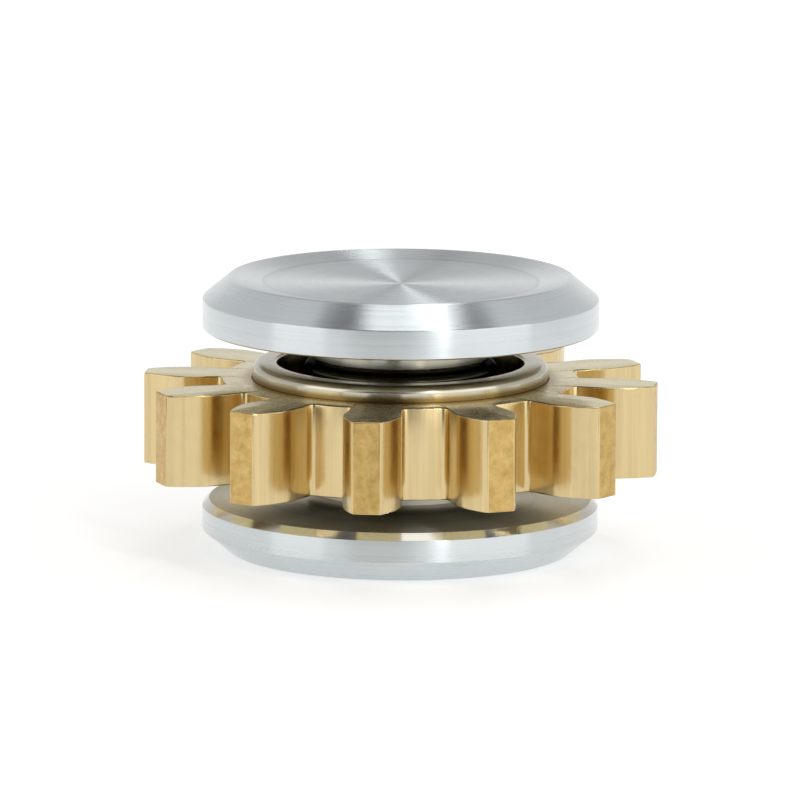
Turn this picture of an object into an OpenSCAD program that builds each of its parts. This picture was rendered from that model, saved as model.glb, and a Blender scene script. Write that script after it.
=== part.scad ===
// Gear fidget spinner: a brass pinion on a small open ball bearing, turned
// between two dished finger caps that a threaded stud draws together.
// Millimetres. Origin at the centre of the lower cap's base, +Z up the spin axis.

/* [Gear] */
// Diameter over the tooth tips
gear_dia = 22.1; // [20:0.1:26]
// Number of teeth
tooth_count = 12; // [12:1:14]
// Thickness of the gear along the spin axis
gear_thickness = 3.94; // [3:0.02:4.6]
// Pressure angle of the tooth flanks, in degrees
pressure_angle = 14.5; // [14.5:0.5:20]
// Radius at the bottom of the tooth spaces
root_radius = 7.65; // [7.3:0.05:7.9]
// Radius of the corners at the bottom of the tooth spaces
root_corner = 0.25; // [0.1:0.05:0.4]
// How far the gear's middle sits below the bearing's middle
gear_drop = 0.3; // [0:0.05:0.4]
// Turn of the gear at rest, in degrees
gear_rest_turn = -7.3; // [-15:0.1:15]

/* [Bearing] */
// Outside diameter of the bearing
bearing_od = 12.7; // [12.7:0.1:12.7]
// Bore of the bearing
bearing_bore = 6.35; // [6.35:0.05:6.35]
// Width of the bearing along the spin axis
bearing_width = 4.76; // [4.7:0.02:4.8]
// Diameter of each ball
ball_dia = 1.588; // [1.5:0.001:1.6]
// Number of balls
ball_count = 10; // [8:1:11]
// Diameter of the outer race's shoulders
outer_land_dia = 10.6; // [10.4:0.05:10.8]
// Diameter of the inner race's shoulders
inner_land_dia = 8.3; // [8.1:0.05:8.6]
// Radius on the outer race's outside corners
outer_race_corner = 0.35; // [0.15:0.05:0.4]
// Radius on the inner race's outside corners
inner_race_corner = 0.25; // [0.1:0.05:0.3]

/* [Finger caps] */
// Diameter of each cap
cap_dia = 17; // [15:0.1:18]
// Thickness of each cap at its rim
cap_thickness = 2.22; // [2:0.02:2.6]
// Width of the chamfer around the finger face
face_chamfer_width = 1.15; // [0.8:0.05:1.4]
// Height of the chamfer around the finger face
face_chamfer_height = 0.95; // [0.7:0.05:1.1]
// Size of the bevel on the inner side of the upper cap's rim
upper_inner_bevel = 0.06; // [0.04:0.01:0.4]
// Size of the bevel on the inner side of the lower cap's rim
lower_inner_bevel = 0.3; // [0.04:0.01:0.4]
// Width of the flat lip between the chamfer and the finger dish
lip_width = 0.2; // [0.1:0.05:0.4]
// Width of the sloping wall around the finger dish
dish_wall_width = 1.25; // [0.6:0.05:1.6]
// Depth of the finger dish where its floor begins
dish_wall_depth = 0.24; // [0.1:0.02:0.3]
// How much deeper the middle of the floor is than its edge
floor_hollow = 0.08; // [0.04:0.02:0.2]
// Diameter of the boss that rests on the inner race
boss_dia = 7.7; // [7.4:0.05:8]
// Height of the upper cap's boss
upper_boss_height = 1.48; // [1.3:0.02:1.8]
// Height of the lower cap's boss
lower_boss_height = 1.18; // [1:0.02:1.5]
// Radius where each boss meets its cap
boss_fillet = 0.35; // [0.1:0.05:0.5]
// Chamfer on the end of each boss
boss_chamfer = 0.24; // [0.05:0.01:0.3]
// Length of the spigot that centres each cap in the bearing
spigot_length = 2; // [1.5:0.1:2.2]

/* [Stud] */
// Outside diameter of the threaded stud
stud_dia = 4; // [3:0.5:4]
// Length of the threaded stud
stud_length = 8; // [7:0.5:8]
// Distance from one thread to the next
thread_pitch = 0.7; // [0.5:0.1:0.8]
// Width across the flats of the key socket in each end
socket_flats = 2; // [1.5:0.5:2]

/* [Hidden] */
ball_radius = ball_dia / 2;
// the ball centres ride midway between the bore and the outside diameter
ball_circle_radius = (bearing_od + bearing_bore) / 4;
race_play = 0.02;
groove_radius = 0.52 * ball_dia;
pocket_radius = ball_radius + 0.05;
cage_wall = 0.68;
cage_drop = 1.2;
cage_rise = 0.5;
// radius on the corners of the bore of each race
bore_corner = 0.12;
spigot_play = 0.01;
thread_depth = 0.6 * thread_pitch;
stud_hole_spare = 0.4;
socket_depth = 1.6;
past = 0.1;

lower_face_z = cap_thickness;
bearing_low_z = lower_face_z + lower_boss_height;
bearing_mid_z = bearing_low_z + bearing_width / 2;
bearing_high_z = bearing_low_z + bearing_width;
upper_face_z = bearing_high_z + upper_boss_height;
gear_mid_z = bearing_mid_z - gear_drop;

gear_module = gear_dia / (tooth_count + 2);
pitch_radius = gear_module * tooth_count / 2;
base_radius = pitch_radius * cos(pressure_angle);
// half the angle of a tooth space where the flank's involute begins
space_half_angle = 90 / tooth_count - involute_angle(pressure_angle);
// below the base circle the flanks run straight in towards the axis
corner_centre_radius = root_radius + root_corner;
corner_centre_angle = space_half_angle - asin(root_corner / corner_centre_radius);
clear_of_tips = 0.6 * gear_dia;
flank_steps = 8;
corner_steps = 5;
root_steps = 4;

$fn = 96;

function ball_name(i) = str("ball_", i < 10 ? "0" : "", i);

// Angle swept by an involute at the given pressure angle, in degrees.
function involute_angle(a) = tan(a) * 180 / PI - a;

// Half the angle of a tooth space at radius r on the flank.
function space_angle(r) =
    space_half_angle + involute_angle(acos(base_radius / r));

function polar(r, a) = [r * cos(a), r * sin(a)];

// The upper flank of a tooth space, from the base circle out past the tips.
function flank() = [
    for (i = [0 : flank_steps])
        let (r = base_radius + (gear_dia / 2 + past - base_radius) * i / flank_steps)
        polar(r, space_angle(r))
];

// The round corner between the upper flank of a tooth space and its root.
function upper_corner() = [
    for (i = [0 : corner_steps])
        let (start = 90 + space_half_angle, end = 180 + corner_centre_angle)
        polar(corner_centre_radius, corner_centre_angle)
            + polar(root_corner, start + (end - start) * i / corner_steps)
];

// The root between the two corners, on a circle about the axis.
function root_arc() = [
    for (i = [1 : root_steps - 1])
        polar(root_radius, corner_centre_angle * (1 - 2 * i / root_steps))
];

function mirrored(points) = [for (p = reversed(points)) [p[0], -p[1]]];

function reversed(list) = [for (i = [len(list) - 1 : -1 : 0]) list[i]];

module tooth_space() {
    upper_side = concat(reversed(flank()), upper_corner());
    linear_extrude(gear_thickness + 2 * past)
        polygon(concat([[clear_of_tips, 0]], upper_side, root_arc(), mirrored(upper_side)));
}

module gear() {
    color("goldenrod")
        translate([0, 0, gear_mid_z - gear_thickness / 2])
            rotate([0, 0, gear_rest_turn - 90])
                difference() {
                    cylinder(d = gear_dia, h = gear_thickness);
                    translate([0, 0, -past])
                        cylinder(d = bearing_od, h = gear_thickness + 2 * past);
                    for (i = [0 : tooth_count - 1])
                        rotate([0, 0, (i + 0.5) * 360 / tooth_count])
                            translate([0, 0, -past])
                                tooth_space();
                }
}

// A race's section: a rectangle from radius r0 to r1 with round corners of
// radius c0 on the bore side and c1 on the outside.
module race_section(r0, r1, c0, c1) {
    h = bearing_width;
    difference() {
        translate([r0, 0])
            square([r1 - r0, h]);
        for (z = [0, h]) {
            translate([r0, z])
                corner_notch(c0, 1, z == 0 ? 1 : -1);
            translate([r1, z])
                corner_notch(c1, -1, z == 0 ? 1 : -1);
        }
    }
}

// What a round corner of radius c removes from a square one.
module corner_notch(c, x_side, z_side) {
    scale([x_side, z_side])
        difference() {
            translate([-past, -past])
                square(c + past);
            translate([c, c])
                circle(c);
        }
}

module race_groove(r) {
    translate([r, bearing_width / 2])
        circle(groove_radius);
}

module bearing_outer_race() {
    groove_centre = ball_circle_radius + ball_radius + race_play - groove_radius;
    color("lightgray")
        translate([0, 0, bearing_low_z])
            rotate_extrude()
                difference() {
                    race_section(outer_land_dia / 2, bearing_od / 2,
                        bore_corner, outer_race_corner);
                    race_groove(groove_centre);
                }
}

module bearing_inner_race() {
    groove_centre = ball_circle_radius - ball_radius - race_play + groove_radius;
    color("silver")
        translate([0, 0, bearing_low_z])
            rotate_extrude()
                difference() {
                    race_section(bearing_bore / 2, inner_land_dia / 2,
                        bore_corner, inner_race_corner);
                    race_groove(groove_centre);
                }
}

module at_each_ball() {
    for (i = [1 : ball_count])
        at_ball(i)
            children();
}

module at_ball(i) {
    rotate([0, 0, (i - 1) * 360 / ball_count])
        translate([ball_circle_radius, 0, bearing_mid_z])
            children();
}

// A crown cage: a ring below the balls, with prongs that rise between them.
module bearing_cage() {
    color("darkgoldenrod")
        difference() {
            translate([0, 0, bearing_mid_z - cage_drop])
                rotate_extrude()
                    translate([ball_circle_radius - cage_wall / 2, 0])
                        square([cage_wall, cage_drop + cage_rise]);
            at_each_ball()
                sphere(pocket_radius);
        }
}

module ball(i) {
    color("gainsboro")
        at_ball(i)
            sphere(ball_radius);
}

// A cap with its inner face on z = 0, its boss and spigot reaching below it
// and its dished finger face above it.
module finger_cap(boss_height, inner_bevel) {
    rim = cap_dia / 2;
    boss = boss_dia / 2;
    spigot = bearing_bore / 2 - spigot_play;
    lip = rim - face_chamfer_width - lip_width;
    floor_edge = lip - dish_wall_width;
    floor_radius = (pow(floor_edge, 2) + pow(floor_hollow, 2)) / (2 * floor_hollow);
    floor_low = cap_thickness - dish_wall_depth - floor_hollow;
    wall_slope = dish_wall_width / dish_wall_depth;
    hole_top = stud_length / 2 + stud_hole_spare - bearing_width / 2 - boss_height;
    difference() {
        rotate_extrude()
            difference() {
                union() {
                    polygon([
                        [0, 0],
                        [rim - inner_bevel, 0],
                        [rim, inner_bevel],
                        [rim, cap_thickness - face_chamfer_height],
                        [rim - face_chamfer_width, cap_thickness],
                        [0, cap_thickness]
                    ]);
                    polygon([
                        [0, -boss_height],
                        [boss - boss_chamfer, -boss_height],
                        [boss, boss_chamfer - boss_height],
                        [boss, past],
                        [0, past]
                    ]);
                    difference() {
                        translate([boss - past, -boss_fillet])
                            square([boss_fillet + past, boss_fillet + past]);
                        translate([boss + boss_fillet, -boss_fillet])
                            circle(boss_fillet);
                    }
                    translate([0, -boss_height - spigot_length])
                        square([spigot, spigot_length + past]);
                }
                intersection() {
                    translate([0, floor_low + floor_radius])
                        circle(floor_radius, $fn = 720);
                    polygon([
                        [0, floor_low],
                        [floor_edge - floor_hollow * wall_slope, floor_low],
                        [lip, cap_thickness],
                        [lip, cap_thickness + past],
                        [0, cap_thickness + past]
                    ]);
                }
            }
        translate([0, 0, -boss_height - spigot_length - past])
            cylinder(d = stud_dia,
                h = hole_top + boss_height + spigot_length + past);
    }
}

module upper_cap() {
    color("gainsboro")
        translate([0, 0, upper_face_z])
            finger_cap(upper_boss_height, upper_inner_bevel);
}

module lower_cap() {
    color("gainsboro")
        translate([0, 0, lower_face_z])
            mirror([0, 0, 1])
                finger_cap(lower_boss_height, lower_inner_bevel);
}

// A headless stud with thread grooves and a hexagonal key socket in each end.
module clamp_stud() {
    groove_count = floor(stud_length / thread_pitch) - 1;
    first_groove = (stud_length - (groove_count - 1) * thread_pitch) / 2;
    color("dimgray")
        translate([0, 0, bearing_mid_z - stud_length / 2])
            difference() {
                rotate_extrude()
                    difference() {
                        square([stud_dia / 2, stud_length]);
                        for (i = [0 : groove_count - 1])
                            translate([stud_dia / 2, first_groove + i * thread_pitch])
                                thread_groove();
                    }
                for (z = [-past, stud_length - socket_depth])
                    translate([0, 0, z])
                        cylinder(d = socket_flats / cos(30),
                            h = socket_depth + past, $fn = 6);
            }
}

module thread_groove() {
    half_mouth = 0.45 * thread_pitch;
    polygon([
        [past, -half_mouth],
        [0, -half_mouth],
        [-thread_depth, 0],
        [0, half_mouth],
        [past, half_mouth]
    ]);
}

gear();
bearing_outer_race();
bearing_inner_race();
bearing_cage();
for (i = [1 : ball_count])
    ball(i);
upper_cap();
lower_cap();
clamp_stud();
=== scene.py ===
import math

import bpy
from mathutils import Matrix, Quaternion, Vector, noise


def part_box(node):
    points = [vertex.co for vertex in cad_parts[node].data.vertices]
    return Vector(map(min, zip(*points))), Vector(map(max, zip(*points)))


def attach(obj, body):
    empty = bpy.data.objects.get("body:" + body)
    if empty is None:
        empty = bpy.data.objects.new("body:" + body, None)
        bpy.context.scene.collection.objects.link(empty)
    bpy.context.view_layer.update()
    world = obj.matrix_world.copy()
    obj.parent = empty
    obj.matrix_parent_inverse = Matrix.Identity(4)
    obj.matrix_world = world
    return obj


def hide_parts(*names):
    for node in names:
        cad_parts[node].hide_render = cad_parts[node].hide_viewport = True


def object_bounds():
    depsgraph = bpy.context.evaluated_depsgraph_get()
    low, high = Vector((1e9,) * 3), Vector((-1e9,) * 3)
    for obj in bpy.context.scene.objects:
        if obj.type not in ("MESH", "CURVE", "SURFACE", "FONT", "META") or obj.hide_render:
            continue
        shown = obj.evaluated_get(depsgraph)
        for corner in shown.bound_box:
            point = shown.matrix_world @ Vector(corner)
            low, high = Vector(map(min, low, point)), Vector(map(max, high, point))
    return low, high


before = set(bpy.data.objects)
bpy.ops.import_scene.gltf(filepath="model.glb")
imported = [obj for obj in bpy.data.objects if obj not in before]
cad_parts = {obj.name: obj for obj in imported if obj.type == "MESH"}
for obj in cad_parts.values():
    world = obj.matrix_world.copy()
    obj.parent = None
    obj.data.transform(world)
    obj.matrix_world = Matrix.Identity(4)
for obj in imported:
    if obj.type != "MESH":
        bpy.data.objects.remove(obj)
cad_low, cad_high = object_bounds()

MM = 0.001
CM = 0.01
TURN = 2 * math.pi

# ---------------------------------------------------------------- sizes
# Places and overall sizes come from the frame. The rest, in metres, are the
# sizes of features inside a piece, which its box doesn't give.
gear_low, gear_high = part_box("gear")
outer_low, outer_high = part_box("bearing_outer_race")
_, inner_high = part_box("bearing_inner_race")
_, upper_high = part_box("upper_cap")
lower_low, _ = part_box("lower_cap")
ball_low, ball_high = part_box("ball_01")

BALL_COUNT = sum(name.startswith("ball_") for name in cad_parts)
BALL_RADIUS = (ball_high.z - ball_low.z) / 2
BALL_CIRCLE = (ball_low.x + ball_high.x) / 2
BEARING_MID = (ball_low.z + ball_high.z) / 2

TOOTH_COUNT = 12
TIP_RADIUS = 11.05 * MM
ROOT_RADIUS = 7.65 * MM
ROOT_CORNER = 0.25 * MM
TIP_BREAK = 0.05 * MM
GEAR_BORE_BREAK = 0.06 * MM
GEAR_EDGE = 1.3  # times EDGE_BREAK, give or take the spread
GEAR_EDGE_SPREAD = 0.8
BURRS_ROUND = 2.1 / MM  # how closely that varies round the gear
BURRS_UP = 7.0 / MM  # and from one face to the other
PRESSURE_ANGLE = math.radians(14.5)
GEAR_REST_TURN = math.radians(-7.3)

BEARING_BORE_RADIUS = 3.175 * MM
OUTER_LAND_RADIUS = 5.3 * MM
OUTER_RACE_CORNER = 0.35 * MM
INNER_RACE_CORNER = 0.25 * MM
BORE_CORNER = 0.12 * MM
GROOVE_RADIUS = 0.52 * 2 * BALL_RADIUS
RACE_PLAY = 0.02 * MM

CAP_THICKNESS = 2.22 * MM
CHAMFER_WIDTH = 1.15 * MM
CHAMFER_HEIGHT = 0.95 * MM
UPPER_INNER_BEVEL = 0.06 * MM
LOWER_INNER_BEVEL = 0.3 * MM
LIP_WIDTH = 0.2 * MM
DISH_WALL_WIDTH = 1.25 * MM
DISH_WALL_DEPTH = 0.24 * MM
FLOOR_HOLLOW = 0.08 * MM
DISH_CORNER = 0.15 * MM
BOSS_RADIUS = 3.85 * MM
BOSS_FILLET = 0.35 * MM
BOSS_CHAMFER = 0.24 * MM
BOSS_CORNER = 0.12 * MM
SMALL_CORNER = 0.1 * MM
SPIGOT_RADIUS = 3.165 * MM
SPIGOT_LENGTH = 2.0 * MM
STUD_RADIUS = 2.0 * MM
HOLE_REACH = 4.4 * MM  # from the bearing's middle to the end of a cap's hole
FACE_BAND = 0.005 * MM  # the inner face's metal ends this far up the bevel
EDGE_BREAK = 0.04 * MM

# how finely round shapes are cut
LATHE_STEPS = 288
FILLET_STEPS = 6
EDGE_STEPS = 3
GROOVE_STEPS = 24
BALL_STEPS = 64
DISH_STEPS = 30

# the studio
ROOM_LEVEL = 0.70
TABLE_REACH = 3.0
TABLE_GAP = 0.01 * MM


# ---------------------------------------------------------------- outlines
def shares(count, first=1):
    """Equal steps up to 1, from first / count."""
    return [k / count for k in range(first, count + 1)]


def fillet(corners, closed=False):
    """Rounds the corners of an outline. A corner is (r, z, radius)."""
    count = len(corners)
    points = []
    for i, (x, y, radius) in enumerate(corners):
        here = Vector((x, y))
        if radius <= 0 or (not closed and i in (0, count - 1)):
            points.append(here)
            continue
        before = Vector(corners[i - 1][:2]) - here
        after = Vector(corners[(i + 1) % count][:2]) - here
        half = before.angle(after) / 2
        reach = radius / math.tan(half)
        inward = (before.normalized() + after.normalized()).normalized()
        centre = here + inward * (radius / math.sin(half))
        start = here + before.normalized() * reach - centre
        end = here + after.normalized() * reach - centre
        sweep = start.angle_signed(end)
        for t in shares(FILLET_STEPS, 0):
            turn = -sweep * t
            c, s = math.cos(turn), math.sin(turn)
            points.append(centre + Vector((start.x * c - start.y * s, start.x * s + start.y * c)))
    return points


def arc(centre, radius, start, end, steps):
    """Points on a circle from one angle to another, in degrees."""
    angles = [math.radians(start + (end - start) * t) for t in shares(steps, 0)]
    return [Vector((centre[0] + radius * math.cos(a), centre[1] + radius * math.sin(a)))
            for a in angles]


def new_object(name, points, faces, face_slots=None):
    """A smooth mesh object, with a material slot for each face where given."""
    mesh = bpy.data.meshes.new(name)
    mesh.from_pydata(points, [], faces)
    if face_slots:
        mesh.polygons.foreach_set("material_index", face_slots)
    mesh.polygons.foreach_set("use_smooth", [True] * len(mesh.polygons))
    mesh.validate()
    obj = bpy.data.objects.new(name, mesh)
    bpy.context.scene.collection.objects.link(obj)
    return obj


def lathe(name, outline, closed=False, steps=LATHE_STEPS, slots=None):
    """Turns an outline of (r, z) points about the Z axis. An open outline
    starts and ends on the axis. Slots holds a material slot for each segment."""
    points, faces = [], []
    rings = []
    for p in outline:
        on_axis = p.x < 1e-9
        if on_axis:
            rings.append([len(points)] * steps)
            points.append((0, 0, p.y))
        else:
            rings.append(list(range(len(points), len(points) + steps)))
            for k in range(steps):
                a = TURN * k / steps
                points.append((p.x * math.cos(a), p.x * math.sin(a), p.y))
    pairs = list(zip(rings, rings[1:] + rings[:1]))
    for low, high in pairs if closed else pairs[:-1]:
        for k in range(steps):
            j = (k + 1) % steps
            quad = [low[k], low[j], high[j], high[k]]
            faces.append(list(dict.fromkeys(quad)))
    face_slots = [slot for slot in slots or () for _ in range(steps)]
    return new_object(name, points, faces, face_slots)


def sharpen(obj, angle=32):
    """Smooth shading with true flats: edges past the angle stay crisp."""
    mesh = obj.data
    mesh.set_sharp_from_angle(angle=math.radians(angle))
    weighted = obj.modifiers.new("flats", "WEIGHTED_NORMAL")
    weighted.keep_sharp = True
    weighted.weight = 80


# ---------------------------------------------------------------- nodes
class Nodes:
    """A small helper that adds and joins shader nodes."""

    def __init__(self, tree):
        self.tree = tree
        self.tree.nodes.clear()

    def add(self, kind, inputs=None, **settings):
        node = self.tree.nodes.new(kind)
        for key, value in settings.items():
            setattr(node, key, value)
        for key, value in (inputs or {}).items():
            self.put(node.inputs[key], value)
        return node

    def put(self, socket, value):
        """Links a node or an output to a socket, or sets the socket's value."""
        if isinstance(value, bpy.types.Node):
            value = value.outputs[0]
        if isinstance(value, bpy.types.NodeSocket):
            self.tree.links.new(value, socket)
        else:
            socket.default_value = value

    def math(self, operation, *values):
        node = self.add("ShaderNodeMath", operation=operation)
        for socket, value in zip(node.inputs, values):
            self.put(socket, value)
        return node.outputs[0]

    def ramp(self, factor, *stops):
        """A colour ramp through stops of (position, colour)."""
        node = self.add("ShaderNodeValToRGB", {"Fac": factor})
        elements = node.color_ramp.elements
        while len(elements) < len(stops):
            elements.new(0.5)
        for element, (position, colour) in zip(elements, stops):
            element.position = position
            element.color = colour
        return node.outputs[0]

    def range(self, value, low, high, to_low, to_high):
        """Takes a value from one range to another, with a soft start and end."""
        node = self.add("ShaderNodeMapRange", interpolation_type="SMOOTHSTEP")
        for socket, number in zip(node.inputs, (value, low, high, to_low, to_high)):
            self.put(socket, number)
        return node.outputs[0]

    def blend(self, factor, first, second, mode="MIX"):
        node = self.add("ShaderNodeMix", data_type="RGBA", blend_type=mode)
        self.put(node.inputs[0], factor)
        self.put(node.inputs[6], first)
        self.put(node.inputs[7], second)
        return node.outputs[2]

    def noise(self, vector, scale, detail=3.0, roughness=0.55):
        return self.add(
            "ShaderNodeTexNoise",
            {"Vector": vector, "Scale": scale, "Detail": detail, "Roughness": roughness},
        ).outputs["Fac"]


def grey(value):
    return (value, value, value, 1)


def start_material(name):
    """A bare metal, which the caller gives its colour, roughness and grain."""
    material = bpy.data.materials.new(name)
    material.use_nodes = True
    nodes = Nodes(material.node_tree)
    shader = nodes.add("ShaderNodeBsdfPrincipled", {"Metallic": 1.0})
    output = nodes.add("ShaderNodeOutputMaterial")
    nodes.put(output.inputs["Surface"], shader)
    place = nodes.add("ShaderNodeTexCoord").outputs["Object"]
    return material, nodes, shader, place


def bump(nodes, shader, height, distance, strength):
    node = nodes.add("ShaderNodeBump",
                     {"Height": height, "Distance": distance, "Strength": strength})
    nodes.put(shader.inputs["Normal"], node)


def stretched(nodes, place, scale):
    return nodes.add("ShaderNodeMapping", {"Vector": place, "Scale": scale}).outputs[0]


def radius_from_axis(nodes, place):
    flat = stretched(nodes, place, (1, 1, 0))
    return nodes.add("ShaderNodeVectorMath", {0: flat}, operation="LENGTH").outputs["Value"]


def turned_place(nodes, place, around):
    """(radius, height, a little of the angle): noise read there makes lines
    that run round the Z axis, as a lathe tool leaves them."""
    x, y, z = nodes.add("ShaderNodeSeparateXYZ", {"Vector": place}).outputs
    radius = radius_from_axis(nodes, place)
    wave = nodes.math("MULTIPLY", nodes.math("SINE", nodes.math("ARCTAN2", y, x)), around)
    return nodes.add("ShaderNodeCombineXYZ", {"X": radius, "Y": z, "Z": wave}).outputs[0]


def brushed_round(nodes, shader, amount):
    """Stretches highlights across the lathe lines that run round the Z axis."""
    shader.inputs["Anisotropic"].default_value = amount
    shader.inputs["Anisotropic Rotation"].default_value = 0.25
    tangent = nodes.add("ShaderNodeTangent", direction_type="RADIAL", axis="Z")
    nodes.put(shader.inputs["Tangent"], tangent)


def turned_aluminium(name, colour, rough, amount):
    """Aluminium with lathe lines, whose highlights are stretched by an amount."""
    material, nodes, shader, place = start_material(name)
    lines = turned_place(nodes, place, 0.2 * MM)
    fine = nodes.noise(lines, 22000, 2)
    coarse = nodes.noise(lines, 5000, 3)
    patches = nodes.noise(place, 420, 4)
    tone = nodes.blend(patches, (*[c * 0.94 for c in colour], 1), (*colour, 1))
    line_tone = nodes.ramp(fine, (0.3, grey(0.93)), (0.7, grey(1.0)))
    tone = nodes.blend(1.0, tone, line_tone, "MULTIPLY")
    # painted shade: the dish's floor is painted a little darker than its wall, with a painted
    # dark line of shade where they meet. A ramp runs from 0 to 1, so the radius is read in
    # centimetres
    edge = upper_high.x - CHAMFER_WIDTH - LIP_WIDTH - DISH_WALL_WIDTH
    line_start, line_end = edge - 0.2 * MM, edge + 0.1 * MM
    dish_shade = nodes.ramp(nodes.math("MULTIPLY", radius_from_axis(nodes, place), 1 / CM),
                     (line_start / CM, grey(0.92)), (edge / CM, grey(0.80)),
                     (line_end / CM, grey(1.0)))
    nodes.put(shader.inputs["Base Color"], nodes.blend(1.0, tone, dish_shade, "MULTIPLY"))
    nodes.put(shader.inputs["Roughness"], nodes.range(coarse, 0.25, 0.75, rough, rough * 1.2))
    brushed_round(nodes, shader, amount)
    height = nodes.math("ADD", fine, nodes.math("MULTIPLY", coarse, 0.4))
    bump(nodes, shader, height, 0.004 * MM, 0.05)
    return material


def brass_face():
    """The gear's flat faces: finely turned, dulled, with painted brown shade near the bearing."""
    material, nodes, shader, place = start_material("brass_face")
    lines = turned_place(nodes, place, 0.6 * MM)
    fine = nodes.noise(lines, 9000, 2)
    grain = nodes.noise(place, 2600, 5, 0.65)
    tone = nodes.blend(grain, (0.74, 0.64, 0.37, 1), (0.87, 0.79, 0.53, 1))
    spread = nodes.math("MULTIPLY", grain, 0.6 * MM)
    # painted shade: the face turns dark brown towards the bearing's ring, where shade falls
    # between the parts
    face_shade_end, unshaded_start = outer_high.x + 0.35 * MM, outer_high.x + 1.0 * MM
    unshaded = nodes.range(nodes.math("ADD", radius_from_axis(nodes, place), spread),
                        face_shade_end, unshaded_start, 0.0, 1.0)
    nodes.put(shader.inputs["Base Color"],
              nodes.blend(unshaded, (0.44, 0.32, 0.13, 1), tone))
    nodes.put(shader.inputs["Roughness"], nodes.range(grain, 0.3, 0.7, 0.24, 0.33))
    bump(nodes, shader, nodes.math("ADD", fine, grain), 0.003 * MM, 0.3)
    return material


def brass_flank():
    """Tooth flanks: cut lines that run along the spin axis."""
    material, nodes, shader, place = start_material("brass_flank")
    cuts = nodes.noise(stretched(nodes, place, (1, 1, 0.02)), 5200, 3)
    broad = nodes.noise(stretched(nodes, place, (1, 1, 0.05)), 900, 2)
    grain = nodes.noise(place, 1800, 4, 0.6)
    tone = nodes.blend(broad, (0.66, 0.51, 0.255, 1), (0.75, 0.60, 0.33, 1))
    streaks = nodes.ramp(cuts, (0.35, grey(0.90)), (0.6, grey(1.0)))
    nodes.put(shader.inputs["Base Color"], nodes.blend(1.0, tone, streaks, "MULTIPLY"))
    nodes.put(shader.inputs["Roughness"], nodes.range(grain, 0.3, 0.7, 0.17, 0.24))
    bump(nodes, shader, cuts, 0.006 * MM, 0.5)
    return material


def brass_land():
    """The worn, grainy lands at the tooth tips."""
    material, nodes, shader, place = start_material("brass_land")
    mottle = nodes.noise(place, 2200, 6, 0.7)
    grain = nodes.noise(place, 8000, 4, 0.7)
    tone = nodes.ramp(mottle, (0.3, (0.46, 0.29, 0.09, 1)), (0.5, (0.57, 0.385, 0.135, 1)),
                      (0.7, (0.68, 0.49, 0.20, 1)))
    nodes.put(shader.inputs["Base Color"], tone)
    nodes.put(shader.inputs["Roughness"], nodes.range(grain, 0.3, 0.7, 0.26, 0.42))
    bump(nodes, shader, nodes.math("ADD", mottle, grain), 0.008 * MM, 0.5)
    return material


def ground_steel(name, colour, rough, edge=1.0, shaded_at_gear=False):
    """Ground bearing steel with light lines round the axis. A low edge dulls
    it at glancing angles, and a ring shaded at the gear gets a painted brown shade where it meets
    the gear."""
    material, nodes, shader, place = start_material(name)
    shader.inputs["Specular Tint"].default_value = grey(edge)
    lines = turned_place(nodes, place, 0.3 * MM)
    fine = nodes.noise(lines, 15000, 2)
    patches = nodes.noise(place, 900, 4)
    tone = nodes.blend(patches, (*[c * 0.88 for c in colour], 1), (*colour, 1))
    if shaded_at_gear:
        # painted shade: the ring darkens to brown near the gear's faces, where shade falls
        # between the parts
        middle = (gear_low.z + gear_high.z) / 2
        half = (gear_high.z - gear_low.z) / 2
        height = nodes.add("ShaderNodeSeparateXYZ", {"Vector": place}).outputs["Z"]
        beyond = nodes.math("ABSOLUTE", nodes.math("SUBTRACT", height, middle))
        ring_shade_end, unshaded_start = half + 0.12 * MM, half + 0.36 * MM
        unshaded = nodes.range(beyond, ring_shade_end, unshaded_start, 0.0, 1.0)
        tone = nodes.blend(unshaded, (0.26, 0.185, 0.075, 1), tone)
    nodes.put(shader.inputs["Base Color"], tone)
    nodes.put(shader.inputs["Roughness"],
              nodes.range(patches, 0.3, 0.7, rough, rough * 1.3))
    brushed_round(nodes, shader, 0.5)
    bump(nodes, shader, fine, 0.003 * MM, 0.15)
    return material


def floor_white():
    """A pale table that glows a little, as a light tent's floor does."""
    material, nodes, shader, place = start_material("floor_white")
    shader.inputs["Metallic"].default_value = 0.0
    speck = nodes.noise(place, 60, 3)
    nodes.put(shader.inputs["Base Color"],
              nodes.blend(speck, (0.66, 0.66, 0.66, 1), (0.68, 0.68, 0.68, 1)))
    shader.inputs["Roughness"].default_value = 0.9
    shader.inputs["Specular IOR Level"].default_value = 0.1
    shader.inputs["Emission Color"].default_value = (1, 1, 0.985, 1)
    shader.inputs["Emission Strength"].default_value = 0.5
    return material


# ---------------------------------------------------------------- gear
def involute(angle):
    """The involute function of gearing, inv(angle)."""
    return math.tan(angle) - angle


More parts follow.
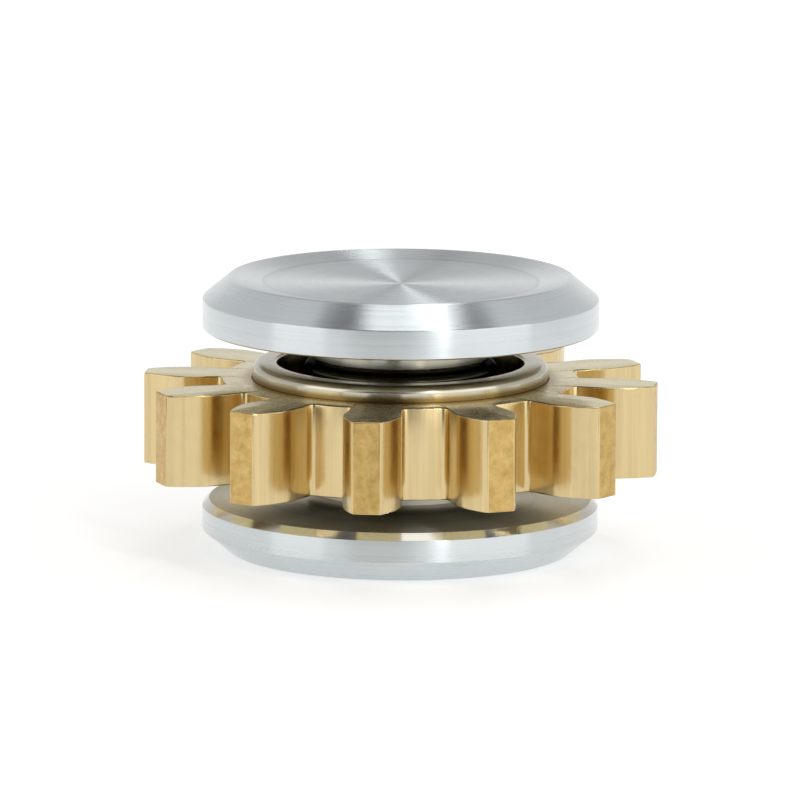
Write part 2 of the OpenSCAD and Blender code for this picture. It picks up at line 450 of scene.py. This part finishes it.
def gear_outline():
    """One turn of the gear's edge, as (angle, radius, slot) with the tooth
    lands in slot 2 and the flanks and roots in slot 1."""
    module = 2 * TIP_RADIUS / (TOOTH_COUNT + 2)
    base = module * TOOTH_COUNT / 2 * math.cos(PRESSURE_ANGLE)
    space = TURN / TOOTH_COUNT / 4 - involute(PRESSURE_ANGLE)
    corner_radius = ROOT_RADIUS + ROOT_CORNER
    corner_angle = space - math.asin(ROOT_CORNER / corner_radius)
    corner_start = corner_radius * math.cos(space - corner_angle)
    half_pitch = TURN / TOOTH_COUNT / 2

    def space_angle(radius):
        return space + involute(math.acos(base / radius))

    # half a tooth and half a space, from the middle of the tip: the land, its
    # rounded edge, the involute, a straight stretch, the root corner, the root
    half = []
    land_edge = half_pitch - space_angle(TIP_RADIUS)
    break_angle = TIP_BREAK / TIP_RADIUS
    for t in shares(4, 0):
        half.append((land_edge * t - break_angle * (t == 1), TIP_RADIUS, 2))
    for t in shares(3):
        a = t * math.pi / 2
        radius = TIP_RADIUS - TIP_BREAK * (1 - math.cos(a))
        half.append((land_edge - break_angle * (1 - math.sin(a)), radius, 1))
    involute_top = TIP_RADIUS - TIP_BREAK * 1.6  # clear of the rounded edge
    for t in shares(10, 0):
        radius = involute_top + (base - involute_top) * t
        half.append((half_pitch - space_angle(radius), radius, 1))
    for t in shares(5):
        half.append((half_pitch - space, base + (corner_start - base) * t, 1))
    for t in shares(8):
        a = math.pi / 2 + space + (math.pi / 2 + corner_angle - space) * t
        x = corner_radius * math.cos(corner_angle) + ROOT_CORNER * math.cos(a)
        y = corner_radius * math.sin(corner_angle) + ROOT_CORNER * math.sin(a)
        half.append((half_pitch - math.atan2(y, x), math.hypot(x, y), 1))
    for t in shares(6):
        half.append((half_pitch - corner_angle * (1 - t), ROOT_RADIUS, 1))
    turn = []
    for tooth in range(TOOTH_COUNT):
        middle = tooth * 2 * half_pitch
        mirror = [(middle - a, r, s) for a, r, s in reversed(half[1:])]
        ahead = [(middle + a, r, s) for a, r, s in half[:-1]]
        turn += mirror + ahead
    return turn


def make_gear(face, flank, land):
    """The gear, with a metal each for its faces, its flanks and its tooth lands."""
    outline = gear_outline()
    count = len(outline)
    turn = GEAR_REST_TURN - math.pi / 2
    flat = [Vector((r * math.cos(a + turn), r * math.sin(a + turn))) for a, r, _ in outline]
    inward = []
    for i in range(count):
        along = (flat[(i + 1) % count] - flat[i - 1]).normalized()
        inward.append(Vector((-along.y, along.x)))
    bore = outer_high.x

    def burr(i, z):
        """Smooth noise, from -1 to 1, at a point of the outline and a height."""
        round_gear = flat[i] * BURRS_ROUND
        return noise.noise(Vector((round_gear.x, round_gear.y, z * BURRS_UP)))

    def edge_rings(z, sign):
        """Rings that round one edge of the gear, from the wall to the face, by
        a size that varies along the edge as wear and burrs do."""
        rings = []
        for t in shares(EDGE_STEPS, 0):
            a = t * math.pi / 2
            ring = []
            for i in range(count):
                size = EDGE_BREAK * (GEAR_EDGE + GEAR_EDGE_SPREAD * burr(i, z))
                p = flat[i] + inward[i] * size * (1 - math.cos(a))
                ring.append((p.x, p.y, z + sign * size * (math.sin(a) - 1)))
            rings.append(ring)
        return rings

    def bore_ring(radius, z):
        start = turn - TURN / TOOTH_COUNT / 2
        angles = [start + TURN * i / count for i in range(count)]
        return [(radius * math.cos(a), radius * math.sin(a), z) for a in angles]

    low, high = gear_low.z, gear_high.z
    rings = list(reversed(edge_rings(low, -1))) + edge_rings(high, 1)
    rings += [bore_ring(bore + GEAR_BORE_BREAK, high), bore_ring(bore, high - GEAR_BORE_BREAK),
              bore_ring(bore, low + GEAR_BORE_BREAK), bore_ring(bore + GEAR_BORE_BREAK, low)]
    points = [p for ring in rings for p in ring]
    faces, slots = [], []
    wall_bands = 2 * EDGE_STEPS + 1  # the wall and its two rounded edges come first
    for n in range(len(rings)):
        m = (n + 1) % len(rings)
        for i in range(count):
            j = (i + 1) % count
            faces.append((n * count + i, n * count + j, m * count + j, m * count + i))
            on_land = outline[i][2] == 2 and outline[j][2] == 2
            slots.append((2 if on_land else 1) if n < wall_bands else 0)
    gear = new_object("gear_visual", points, faces, slots)
    for material in (face, flank, land):
        gear.data.materials.append(material)
    sharpen(gear, 40)
    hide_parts("gear")
    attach(gear, "spinner")


# ---------------------------------------------------------------- bearing
def race_outline(bore_side, outside, corner_in, corner_out, groove_centre, groove_from):
    """Section of a race, anticlockwise from the low bore-side corner, with the
    balls' groove cut from the bore or from the outside."""
    low, high = outer_low.z, outer_high.z
    corners = fillet([(bore_side, low, corner_in), (outside, low, corner_out),
                      (outside, high, corner_out), (bore_side, high, corner_in)], closed=True)
    centre = (groove_centre, BEARING_MID)
    land = bore_side if groove_from == "bore" else outside
    reach = math.degrees(math.acos(abs(land - groove_centre) / GROOVE_RADIUS))
    if groove_from == "bore":
        return corners + arc(centre, GROOVE_RADIUS, reach, -reach, GROOVE_STEPS)
    groove = arc(centre, GROOVE_RADIUS, 180 + reach, 180 - reach, GROOVE_STEPS)
    middle = len(corners) // 2
    return corners[:middle] + groove + corners[middle:]


def make_races(outer_steel, inner_steel):
    outer_groove = BALL_CIRCLE + BALL_RADIUS + RACE_PLAY - GROOVE_RADIUS
    outer = lathe(
        "outer_race_visual",
        race_outline(OUTER_LAND_RADIUS, outer_high.x, BORE_CORNER, OUTER_RACE_CORNER,
                     outer_groove, "bore"),
        closed=True,
    )
    inner_groove = BALL_CIRCLE - BALL_RADIUS - RACE_PLAY + GROOVE_RADIUS
    inner = lathe(
        "inner_race_visual",
        race_outline(BEARING_BORE_RADIUS, inner_high.x, BORE_CORNER, INNER_RACE_CORNER,
                     inner_groove, "outside"),
        closed=True,
    )
    for obj, node, body, steel in (
        (outer, "bearing_outer_race", "spinner", outer_steel),
        (inner, "bearing_inner_race", "caps", inner_steel),
    ):
        obj.data.materials.append(steel)
        sharpen(obj)
        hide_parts(node)
        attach(obj, body)


def make_balls(steel):
    outline = arc((0, 0), BALL_RADIUS, -90, 90, BALL_STEPS // 2)
    outline[0].x = outline[-1].x = 0
    for i in range(BALL_COUNT):
        name = f"ball_{i + 1:02d}"
        low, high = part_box(name)
        centre = (low + high) / 2
        ball = lathe(f"{name}_visual", outline, steps=BALL_STEPS)
        ball.location = centre
        ball.data.materials.append(steel)
        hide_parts(name)
        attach(ball, name)


# ---------------------------------------------------------------- caps
def cap_outline(boss_height, hole_top, inner_bevel):
    """Half section of a cap with its inner face on z = 0, from the blind
    hole's end on the axis round to the middle of the finger dish."""
    rim = upper_high.x
    lip = rim - CHAMFER_WIDTH - LIP_WIDTH
    floor_edge = lip - DISH_WALL_WIDTH
    floor_high = CAP_THICKNESS - DISH_WALL_DEPTH
    sphere = (floor_edge**2 + FLOOR_HOLLOW**2) / (2 * FLOOR_HOLLOW)
    corners = [
        (0, hole_top, 0),
        (STUD_RADIUS, hole_top, EDGE_BREAK),
        (STUD_RADIUS, -boss_height - SPIGOT_LENGTH, EDGE_BREAK),
        (SPIGOT_RADIUS, -boss_height - SPIGOT_LENGTH, SMALL_CORNER),
        (SPIGOT_RADIUS, -boss_height, 0),
        (BOSS_RADIUS - BOSS_CHAMFER, -boss_height, SMALL_CORNER),
        (BOSS_RADIUS, BOSS_CHAMFER - boss_height, BOSS_CORNER),
        (BOSS_RADIUS, 0, BOSS_FILLET),
        (rim - inner_bevel, 0, EDGE_BREAK / 2),
        (rim, inner_bevel, EDGE_BREAK / 2),
        (rim, CAP_THICKNESS - CHAMFER_HEIGHT, EDGE_BREAK * 2),
        (rim - CHAMFER_WIDTH, CAP_THICKNESS, EDGE_BREAK * 6),
        (lip, CAP_THICKNESS, EDGE_BREAK * 12),
        (floor_edge, floor_high, DISH_CORNER),
        (0, floor_high - FLOOR_HOLLOW, 0),
    ]
    # the straight last stretch gives way to the dish's hollow floor
    outline = fillet(corners)[:-1]
    wall_end = outline[-1].x
    for t in shares(DISH_STEPS):
        r = wall_end * (1 - t)
        hollow = sphere - math.sqrt(sphere**2 - r**2)
        outline.append(Vector((r, floor_high - FLOOR_HOLLOW + hollow)))
    return outline


def make_caps(outside, bevel, shaded_inside, boss):
    """Both caps, with a metal each for the outside, the inner bevel, the inner
    face (painted darker, as shade between the caps and the gear) and the lower boss. The upper
    boss is as bright as the bevel."""
    for side, node, inner_face, boss_height, inner_bevel in (
        (1, "upper_cap", upper_high.z - CAP_THICKNESS,
         upper_high.z - CAP_THICKNESS - outer_high.z, UPPER_INNER_BEVEL),
        (-1, "lower_cap", lower_low.z + CAP_THICKNESS,
         outer_low.z - lower_low.z - CAP_THICKNESS, LOWER_INNER_BEVEL),
    ):
        hole_top = HOLE_REACH - (outer_high.z - outer_low.z) / 2 - boss_height
        outline = [Vector((p.x, inner_face + side * p.y))
                   for p in cap_outline(boss_height, hole_top, inner_bevel)]
        if side < 0:
            outline.reverse()
        slots = []
        for a, b in zip(outline, outline[1:]):
            depth = side * ((a.y + b.y) / 2 - inner_face)
            if depth > inner_bevel:
                slots.append(0)
            elif depth > FACE_BAND:
                slots.append(1)
            elif depth > -BOSS_FILLET:
                slots.append(2)
            else:
                slots.append(1 if side > 0 else 3)
        cap = lathe(f"{node}_visual", outline, slots=slots)
        for metal in (outside, bevel, shaded_inside, boss):
            cap.data.materials.append(metal)
        sharpen(cap)
        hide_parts(node)
        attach(cap, "caps")


# ---------------------------------------------------------------- studio
def make_floor():
    corners = ((-1, -1), (1, -1), (1, 1), (-1, 1))
    points = [(x * TABLE_REACH, y * TABLE_REACH, 0) for x, y in corners]
    floor = new_object("floor", points, [(0, 1, 2, 3)])
    floor.location.z = cad_low.z - TABLE_GAP
    floor.data.materials.append(floor_white())


def make_world():
    """A soft grey room: dark above and round the camera, bright low down on
    the far side and dimmer high up there."""
    world = bpy.data.worlds.new("studio")
    bpy.context.scene.world = world
    world.use_nodes = True
    nodes = Nodes(world.node_tree)
    place = nodes.add("ShaderNodeTexCoord").outputs["Generated"]

    def within(way, outer, inner, level):
        """1 outside a cone about a direction, changing to a level inside it."""
        towards = nodes.add("ShaderNodeVectorMath", {0: place, 1: Vector(way).normalized()},
                            operation="DOT_PRODUCT")
        return nodes.range(towards.outputs["Value"], math.cos(math.radians(outer)),
                           math.cos(math.radians(inner)), 1.0, level)

    above_camera = within((0.04, -0.35, 0.94), 40, 34, 0.15)
    round_camera = within((-0.2, -0.96, 0.17), 24, 14, 0.1)
    low_behind = within((0.0, 0.98, 0.15), 30, 16, 1.18)
    high_behind = within((0.0, 0.72, 0.69), 26, 12, 0.6)
    light = ROOM_LEVEL
    for part in (above_camera, round_camera, low_behind, high_behind):
        light = nodes.math("MULTIPLY", light, part)
    background = nodes.add("ShaderNodeBackground", {"Strength": 1.0})
    nodes.put(background.inputs["Color"],
              nodes.add("ShaderNodeCombineXYZ", {"X": light, "Y": light, "Z": light}))
    output = nodes.add("ShaderNodeOutputWorld")
    nodes.put(output.inputs["Surface"], background)


def soft_light(name, azimuth, elevation, distance, width, height, radiance, sideways=0.0):
    """A rectangular softbox that faces the object. Azimuth 0 is the camera's
    side and 90 the object's right, in degrees, and sideways moves the box
    along its own width."""
    a, e = math.radians(azimuth), math.radians(elevation)
    away = Vector((math.sin(a) * math.cos(e), -math.cos(a) * math.cos(e), math.sin(e)))
    along = Vector((math.cos(a), math.sin(a), 0))
    data = bpy.data.lights.new(name, "AREA")
    data.shape = "RECTANGLE"
    data.size, data.size_y = width, height
    data.energy = radiance * math.pi * width * height
    light = bpy.data.objects.new(name, data)
    light.location = Vector((0, 0, BEARING_MID)) + away * distance + along * sideways
    light.rotation_mode = "QUATERNION"
    facing = Matrix((along, away.cross(along), away)).transposed()
    light.rotation_quaternion = facing.to_quaternion()
    light.visible_camera = False
    bpy.context.scene.collection.objects.link(light)


def make_lights():
    # azimuth, elevation, distance, width, height, radiance and sideways
    soft_light("overhead", 0, 84, 0.8, 0.435, 0.68, 1.45, 0.048)
    soft_light("key", 26, 29, 0.9, 0.10, 0.5, 3.3)
    soft_light("key_core", 30, 50, 0.88, 0.03, 0.26, 24.0)
    soft_light("rear", 168, 62, 0.9, 0.10, 0.25, 5.0)
    soft_light("window", 48, 16, 0.95, 1.2, 0.5, 0.88)
    soft_light("fill", -62, 16, 0.95, 0.6, 0.5, 0.88)


def make_camera():
    """Looks down on the object by 10 degrees from 426 mm away, with a long
    lens, aimed a little above its middle."""
    elevation = math.radians(10.2)
    distance = 426 * MM
    roll = math.radians(0.29)
    middle = Vector((0, 0, (cad_low.z + cad_high.z) / 2))
    aim_up = 0.517 * MM
    aim_right = -0.015 * MM
    back = Vector((0, -math.cos(elevation), math.sin(elevation)))
    data = bpy.data.cameras.new("camera")
    data.sensor_width = 36
    data.lens = 446.4
    data.clip_start = 0.05
    data.clip_end = 20
    camera = bpy.data.objects.new("camera", data)
    target = middle + Vector((aim_right, 0, aim_up / math.cos(elevation)))
    camera.location = middle + back * distance
    look = camera.location - target
    camera.rotation_mode = "QUATERNION"
    upright = look.to_track_quat("Z", "Y")
    camera.rotation_quaternion = upright @ Quaternion((0, 0, 1), roll)
    bpy.context.scene.collection.objects.link(camera)
    bpy.context.scene.camera = camera


# ---------------------------------------------------------------- build
make_camera()
make_floor()
make_world()
make_lights()
bpy.context.scene.view_settings.view_transform = "Standard"

make_gear(brass_face(), brass_flank(), brass_land())
make_races(ground_steel("outer_race_steel", (0.61, 0.575, 0.465), 0.17, 0.9, True),
           # painted shade: the inner race's steel is painted nearly black, standing in for the
           # shade inside the bearing
           ground_steel("inner_race_painted_shade_steel", (0.07, 0.065, 0.045), 0.15, 0.1))
make_balls(ground_steel("ball_steel", (0.75, 0.75, 0.75), 0.04))
make_caps(turned_aluminium("cap_aluminium", (0.70, 0.745, 0.76), 0.235, 1.0),
          turned_aluminium("bevel_aluminium", (0.64, 0.62, 0.55), 0.17, 0.3),
          # painted shade: the inner faces' aluminium is painted darker than the outside, for the
          # shade between the caps and the gear
          turned_aluminium("inner_aluminium_painted_shade", (0.42, 0.395, 0.32), 0.36, 0.9),
          turned_aluminium("boss_aluminium", (0.74, 0.72, 0.62), 0.34, 0.5))
cage_steel = ground_steel("cage_steel", (0.42, 0.40, 0.36), 0.3)
stud_steel = ground_steel("stud_steel", (0.10, 0.10, 0.11), 0.4)
for node, material in (("bearing_cage", cage_steel), ("clamp_stud", stud_steel)):
    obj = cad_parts[node]
    obj.data.materials.clear()
    obj.data.materials.append(material)
